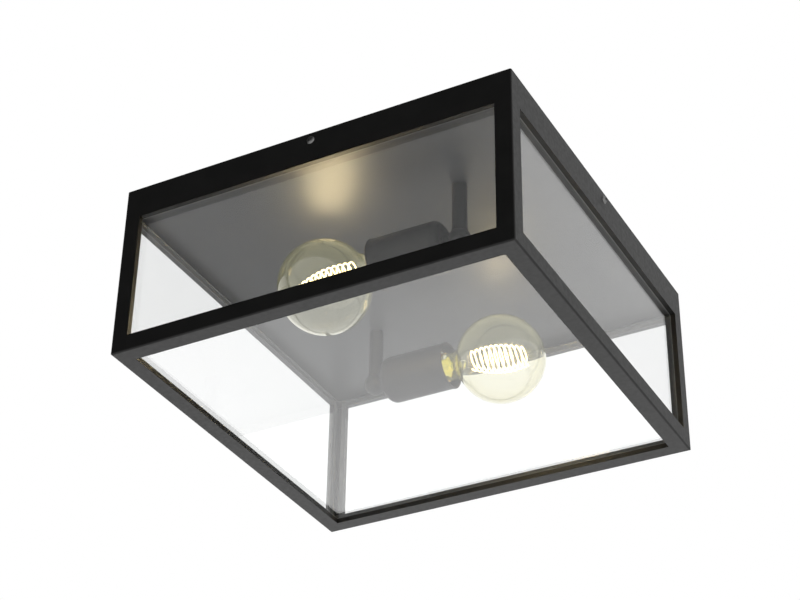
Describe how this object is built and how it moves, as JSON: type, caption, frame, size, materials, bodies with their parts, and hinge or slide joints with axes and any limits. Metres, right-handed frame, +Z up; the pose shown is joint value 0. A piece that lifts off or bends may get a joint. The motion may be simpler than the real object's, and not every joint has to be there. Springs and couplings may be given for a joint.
{
  "type": "porch ceiling lantern",
  "caption": "Square glazed steel ceiling lantern with slim black bars, clear panes and globe bulbs lying on short stems under a flat ceiling pan.",
  "frame": {"origin": "middle of the ceiling face, on the top of the mounting bar", "axes": "+Z up into the ceiling, -Y towards the front face, +X towards the right face; the lantern hangs below z = 0"},
  "size_m": [0.3638, 0.3638, 0.162],
  "materials": {
    "frame_paint": "satin black powder coat",
    "panel_paint": "semi-gloss black powder coat",
    "zinc_steel": "zinc plated",
    "screw_steel": "stainless, machined",
    "brass": "drawn brass",
    "pane_glass": "clear float glass",
    "bulb_glass": "clear with a light amber tint",
    "mount_glass": "clear lead-free glass",
    "filament": "glowing warm white",
    "ceramic": "glazed white",
    "black_glass": "opaque black insulator",
    "white_plastic": "moulded",
    "rubber": "matt",
    "silicone": "translucent silicone",
    "live_jacket": "brown insulation",
    "neutral_jacket": "blue insulation",
    "earth_jacket": "green and yellow insulation"
  },
  "bodies": {
    "ceiling_unit": {"mounting_bar": "zinc_steel", "ceiling_pan": "panel_paint", "pan_screws": "screw_steel", "cable_grommet": "rubber", "terminal_block": "white_plastic", "terminal_screws": "screw_steel", "earth_terminal": "screw_steel", "live_wires": "live_jacket", "neutral_wires": "neutral_jacket", "earth_wire": "earth_jacket", "front_stem": "panel_paint", "back_stem": "panel_paint", "stem_nipples": "zinc_steel", "stem_nuts": "zinc_steel", "front_elbow": "panel_paint", "back_elbow": "panel_paint", "front_holder": "panel_paint", "back_holder": "panel_paint", "holder_nipples": "zinc_steel", "front_socket": "ceramic", "back_socket": "ceramic", "socket_shells": "brass", "socket_contacts": "brass"},
    "glazed_frame": {"band_front": "frame_paint", "band_right": "frame_paint", "band_back": "frame_paint", "band_left": "frame_paint", "post_front_right": "frame_paint", "post_back_right": "frame_paint", "post_back_left": "frame_paint", "post_front_left": "frame_paint", "rail_front": "frame_paint", "rail_right": "frame_paint", "rail_back": "frame_paint", "rail_left": "frame_paint", "pane_front": "pane_glass", "pane_right": "pane_glass", "pane_back": "pane_glass", "pane_left": "pane_glass", "pane_bottom": "pane_glass", "pane_seals": "silicone", "side_nuts": "zinc_steel", "side_spacers": "white_plastic"},
    "bulb_front": {"front_bulb_glass": "bulb_glass", "front_bulb_cap": "brass", "front_bulb_foot": "black_glass", "front_bulb_mount": "mount_glass", "front_bulb_leads": "screw_steel", "front_bulb_filament": "filament"},
    "bulb_back": {"back_bulb_glass": "bulb_glass", "back_bulb_cap": "brass", "back_bulb_foot": "black_glass", "back_bulb_mount": "mount_glass", "back_bulb_leads": "screw_steel", "back_bulb_filament": "filament"},
    "side_screw_front_body": {"side_screw_front": "screw_steel"},
    "side_screw_right_body": {"side_screw_right": "screw_steel"},
    "side_screw_back_body": {"side_screw_back": "screw_steel"},
    "side_screw_left_body": {"side_screw_left": "screw_steel"}
  },
  "joints": [
    {"name": "frame_lower", "type": "slide", "parent": "ceiling_unit", "child": "glazed_frame", "axis": [0, 0, -1], "range_m": [0, 0.17]},
    {"name": "side_screw_front_out", "type": "slide", "parent": "glazed_frame", "child": "side_screw_front_body", "axis": [0, -1, 0], "range_m": [0, 0.003]},
    {"name": "side_screw_right_out", "type": "slide", "parent": "glazed_frame", "child": "side_screw_right_body", "axis": [1, 0, 0], "range_m": [0, 0.003]},
    {"name": "side_screw_back_out", "type": "slide", "parent": "glazed_frame", "child": "side_screw_back_body", "axis": [0, 1, 0], "range_m": [0, 0.003]},
    {"name": "side_screw_left_out", "type": "slide", "parent": "glazed_frame", "child": "side_screw_left_body", "axis": [-1, 0, 0], "range_m": [0, 0.003]},
    {"name": "bulb_front_out", "type": "slide", "parent": "ceiling_unit", "child": "bulb_front", "axis": [-0.9945, 0, -0.1045], "range_m": [0, 0.034]},
    {"name": "bulb_back_out", "type": "slide", "parent": "ceiling_unit", "child": "bulb_back", "axis": [0.9945, 0, -0.1045], "range_m": [0, 0.034]}
  ]
}
